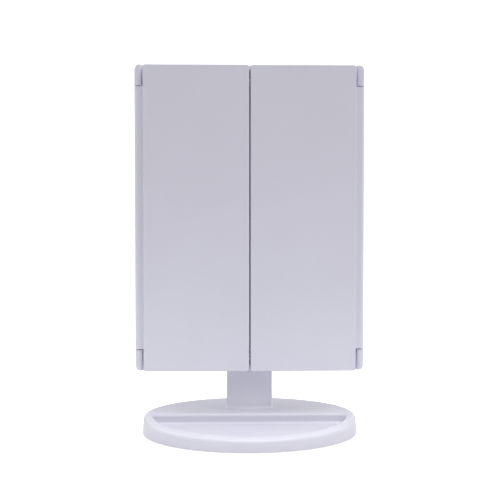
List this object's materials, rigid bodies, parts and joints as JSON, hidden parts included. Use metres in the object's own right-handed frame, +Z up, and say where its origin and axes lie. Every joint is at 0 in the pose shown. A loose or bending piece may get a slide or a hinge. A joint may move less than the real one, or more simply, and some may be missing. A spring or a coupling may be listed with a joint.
{
  "type": "lighted vanity mirror",
  "caption": "Folding tabletop vanity mirror whose hinged wings close over a lighted centre mirror, on a tilting stem and an oval base with a shallow tray.",
  "frame": {"origin": "on the table, under the centre of the oval base", "axes": "+Z up, the mirror faces -Y, +X to the viewer's right"},
  "size_m": [0.18, 0.1148, 0.2883],
  "materials": {
    "white_shell": "satin white ABS with a cool cast",
    "stem_plastic": "satin white ABS",
    "foot_rubber": "matt pale grey rubber",
    "screw_steel": "zinc plated steel",
    "washer_nylon": "natural nylon",
    "mirror_glass": "silvered glass",
    "foam_tape": "white double-sided foam",
    "frosted_window": "frosted white window",
    "copper_foil": "copper foil",
    "circuit_board": "white solder mask",
    "led_package": "white package with a phosphor window",
    "black_plastic": "black moulded plastic",
    "socket_steel": "bright plated steel",
    "cell_can": "plain sleeve on a steel can",
    "contact_nickel": "nickel plated spring steel"
  },
  "bodies": {
    "base": {"base_top": "white_shell", "base_bottom_cover": "white_shell", "rubber_feet": "foot_rubber", "base_cover_screws": "screw_steel", "stem_body": "stem_plastic", "stem_hatch": "stem_plastic", "stem_hatch_screws": "screw_steel", "stem_base_screws": "screw_steel", "friction_washers": "washer_nylon"},
    "head": {"front_frame": "white_shell", "centre_mirror": "mirror_glass", "centre_mirror_tape": "foam_tape", "lamp_windows": "frosted_window", "touch_window": "frosted_window", "touch_pad": "copper_foil", "lamp_board_left": "circuit_board", "lamp_board_right": "circuit_board", "lamp_board_top": "circuit_board", "lamps": "led_package", "control_board": "circuit_board", "board_parts": "black_plastic", "usb_board": "circuit_board", "usb_socket": "socket_steel", "switch_body": "black_plastic", "rear_cover": "white_shell", "rear_cover_screws": "screw_steel", "battery_cells": "cell_can", "battery_contacts": "contact_nickel", "battery_springs": "contact_nickel", "tilt_bolt": "screw_steel", "tilt_nut": "screw_steel", "spring_washers": "screw_steel", "hinge_pins_left": "screw_steel", "hinge_pins_right": "screw_steel"},
    "left_wing": {"left_wing_shell": "white_shell", "magnifier_3x": "mirror_glass", "magnifier_2x": "mirror_glass", "left_wing_foam": "foam_tape"},
    "right_wing": {"right_wing_shell": "white_shell", "right_wing_mirror": "mirror_glass", "right_wing_foam": "foam_tape"},
    "battery_lid": {"battery_door": "white_shell"},
    "power_slider": {"switch_knob": "black_plastic"}
  },
  "joints": [
    {"name": "head_tilt", "type": "hinge", "parent": "base", "child": "head", "pos_m": [0, 0.0203, 0.068], "axis": [1, 0, 0], "range_deg": [-90, 15]},
    {"name": "left_wing_hinge", "type": "hinge", "parent": "head", "child": "left_wing", "pos_m": [-0.087, 0, 0.1689], "axis": [0, 0, -1], "range_deg": [0, 180]},
    {"name": "right_wing_hinge", "type": "hinge", "parent": "head", "child": "right_wing", "pos_m": [0.087, 0, 0.1689], "axis": [0, 0, 1], "range_deg": [0, 180]},
    {"name": "battery_lid_hinge", "type": "hinge", "parent": "head", "child": "battery_lid", "pos_m": [0, 0.02905, 0.085], "axis": [-1, 0, 0], "range_deg": [0, 80]},
    {"name": "power_slide", "type": "slide", "parent": "head", "child": "power_slider", "axis": [0, 0, 1], "range_m": [0, 0.003]}
  ]
}
